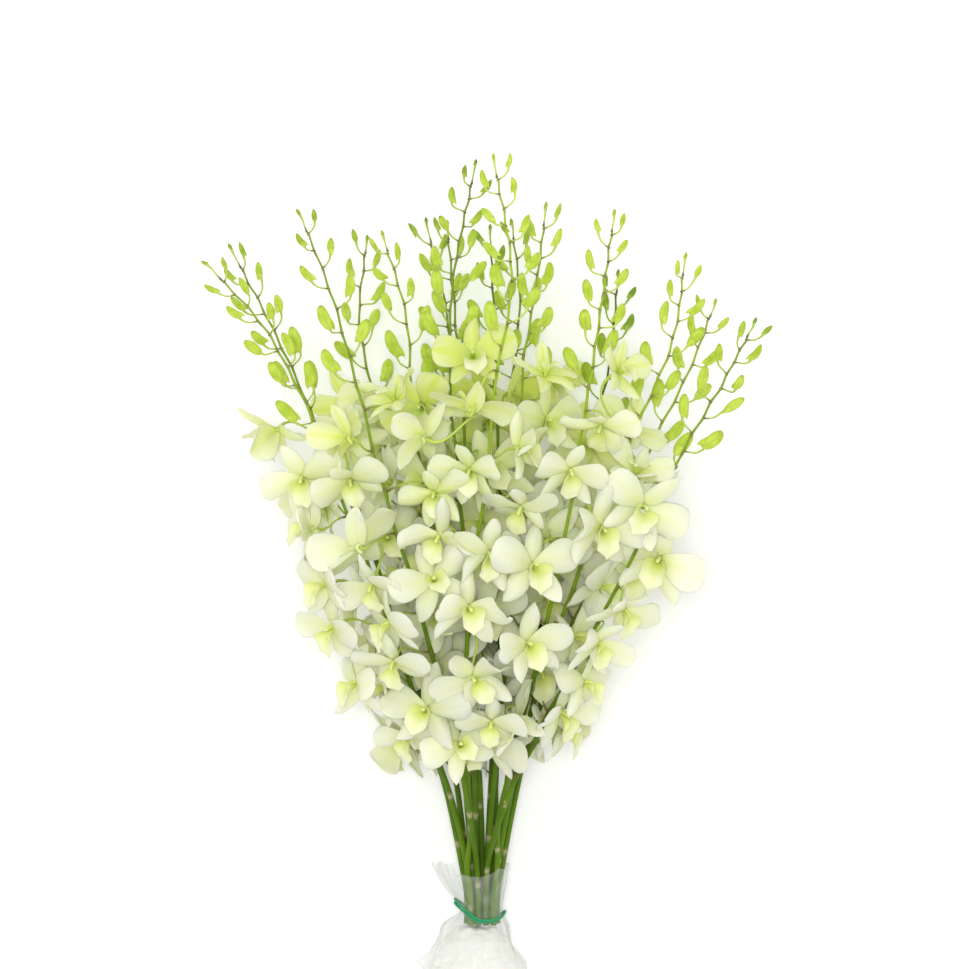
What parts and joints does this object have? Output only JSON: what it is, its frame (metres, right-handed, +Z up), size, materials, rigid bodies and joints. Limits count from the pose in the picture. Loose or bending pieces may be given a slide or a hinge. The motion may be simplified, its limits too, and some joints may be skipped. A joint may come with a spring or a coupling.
{
  "type": "dendrobium orchid",
  "caption": "Tied bunch of cut white dendrobium orchid sprays with lime green buds, lying down, its stem ends in wet cotton wool inside a clear film bag under a rubber band.",
  "frame": {"origin": "on the table under the middle of the lying bunch: the centre of the box's underside", "axes": "+Y along the stems from the bag to the bud tips, +X across the bunch, +Z up from the table"},
  "size_m": [0.3868, 0.5914, 0.1926],
  "materials": {
    "petal": "fresh waxy petals, cream white with lime throats",
    "bud": "smooth waxy lime green",
    "stem": "smooth mid green, purplish at the joints",
    "clear_film": "thin creased clear film",
    "green_rubber": "soft matt band",
    "cotton_wool": "damp matted fibre"
  },
  "bodies": {
    "root": {"spray_01": "petal", "spray_02": "petal", "spray_03": "petal", "spray_04": "petal", "spray_05": "petal", "spray_06": "petal", "spray_07": "petal", "spray_08": "petal", "spray_09": "petal", "spray_10": "petal", "spray_11": "petal", "spray_12": "petal", "spray_13": "petal", "spray_14": "petal", "spray_15": "petal", "spray_16": "petal", "spray_17": "petal", "poly_bag": "clear_film", "rubber_band": "green_rubber", "wet_cotton": "cotton_wool"}
  },
  "joints": []
}
